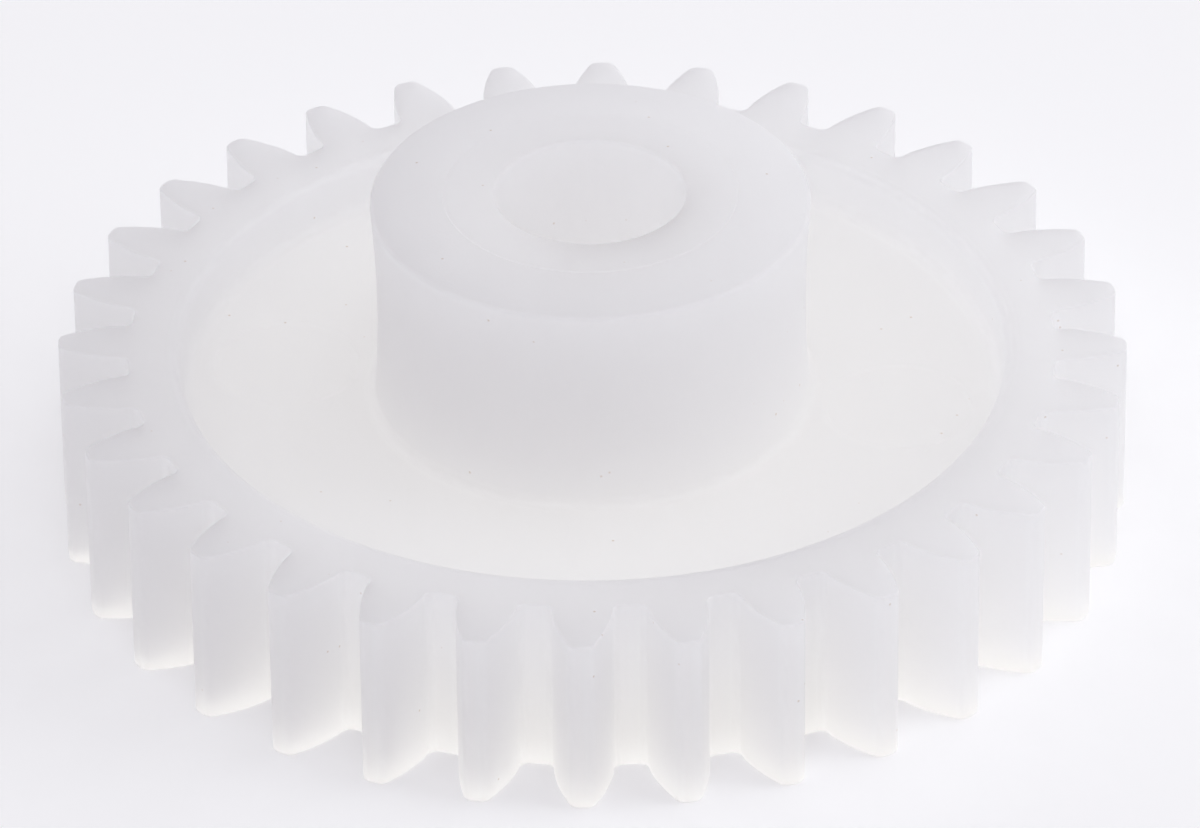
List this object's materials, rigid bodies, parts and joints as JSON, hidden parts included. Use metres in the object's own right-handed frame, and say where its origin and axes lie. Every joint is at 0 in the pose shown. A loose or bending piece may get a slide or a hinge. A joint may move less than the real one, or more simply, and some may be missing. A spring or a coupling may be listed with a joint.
{
  "type": "spur gear",
  "caption": "Moulded plastic spur gear with straight involute teeth, a recessed web and a raised hub round a plain bore.",
  "frame": {"origin": "on the bore axis, in the plane of the underside, which the hub and the rim share", "axes": "+Z along the bore axis towards the hub's raised end; +X through the middle of a tooth"},
  "size_m": [0.034, 0.034, 0.0117],
  "materials": {
    "acetal": "natural milky acetal as moulded, satin and slightly translucent"
  },
  "bodies": {
    "root": {"hub": "acetal", "web": "acetal", "rim": "acetal", "teeth": "acetal"}
  },
  "joints": []
}
